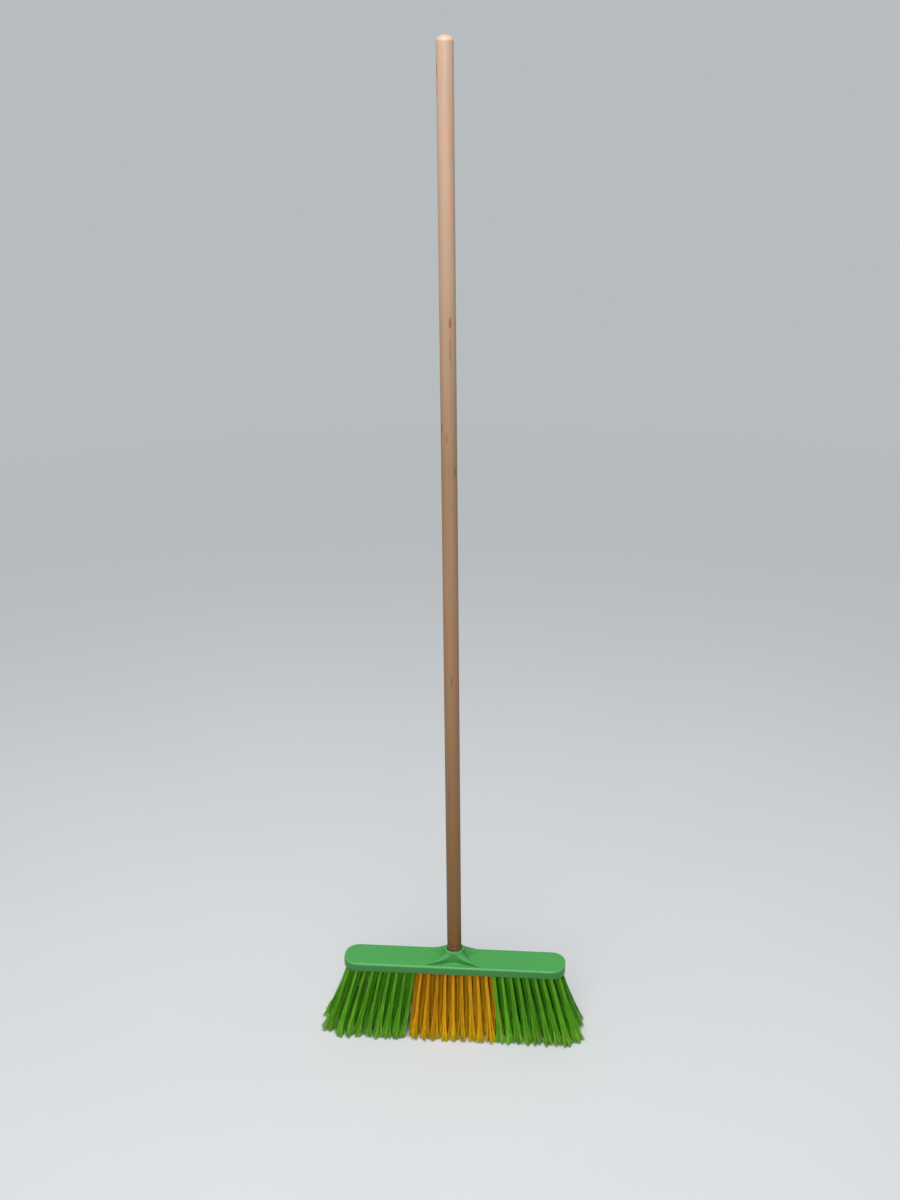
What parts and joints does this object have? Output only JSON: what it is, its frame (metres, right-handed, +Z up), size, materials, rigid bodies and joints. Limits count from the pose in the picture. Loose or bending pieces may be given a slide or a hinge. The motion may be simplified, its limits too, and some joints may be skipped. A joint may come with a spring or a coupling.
{
  "type": "broom",
  "caption": "Household broom: a round wooden stick screwed into a flat moulded block with fanned rows of bristle tufts in two colours, for sweeping floors.",
  "frame": {"origin": "on the floor under the middle of the block, where the bristle tips stand", "axes": "+X along the block, +Y towards the back, +Z up along the stick"},
  "size_m": [0.4096, 0.071, 1.5008],
  "materials": {
    "stick_wood": "fine-sanded hardwood with a thin clear varnish, darker towards the socket",
    "block_green": "moulded polypropylene with a soft sheen",
    "bristle_green": "extruded filament, satin",
    "bristle_yellow": "extruded filament, satin"
  },
  "bodies": {
    "head": {"block": "block_green", "tuft_strip_01": "bristle_green", "tuft_strip_02": "bristle_green", "tuft_strip_03": "bristle_green", "tuft_strip_04": "bristle_green", "tuft_strip_05": "bristle_green", "tuft_strip_06": "bristle_green", "tuft_strip_07": "bristle_green", "tuft_strip_08": "bristle_green", "tuft_strip_09": "bristle_green", "tuft_strip_10": "bristle_yellow", "tuft_strip_11": "bristle_yellow", "tuft_strip_12": "bristle_yellow", "tuft_strip_13": "bristle_yellow", "tuft_strip_14": "bristle_yellow", "tuft_strip_15": "bristle_yellow", "tuft_strip_16": "bristle_yellow", "tuft_strip_17": "bristle_yellow", "tuft_strip_18": "bristle_yellow", "tuft_strip_19": "bristle_green", "tuft_strip_20": "bristle_green", "tuft_strip_21": "bristle_green", "tuft_strip_22": "bristle_green", "tuft_strip_23": "bristle_green", "tuft_strip_24": "bristle_green", "tuft_strip_25": "bristle_green", "tuft_strip_26": "bristle_green", "tuft_strip_27": "bristle_green"},
    "stick": {"handle": "stick_wood"}
  },
  "joints": [
    {"name": "stick_lift_out", "type": "slide", "parent": "head", "child": "stick", "axis": [0, 0, 1], "range_m": [0, 0.026]}
  ]
}
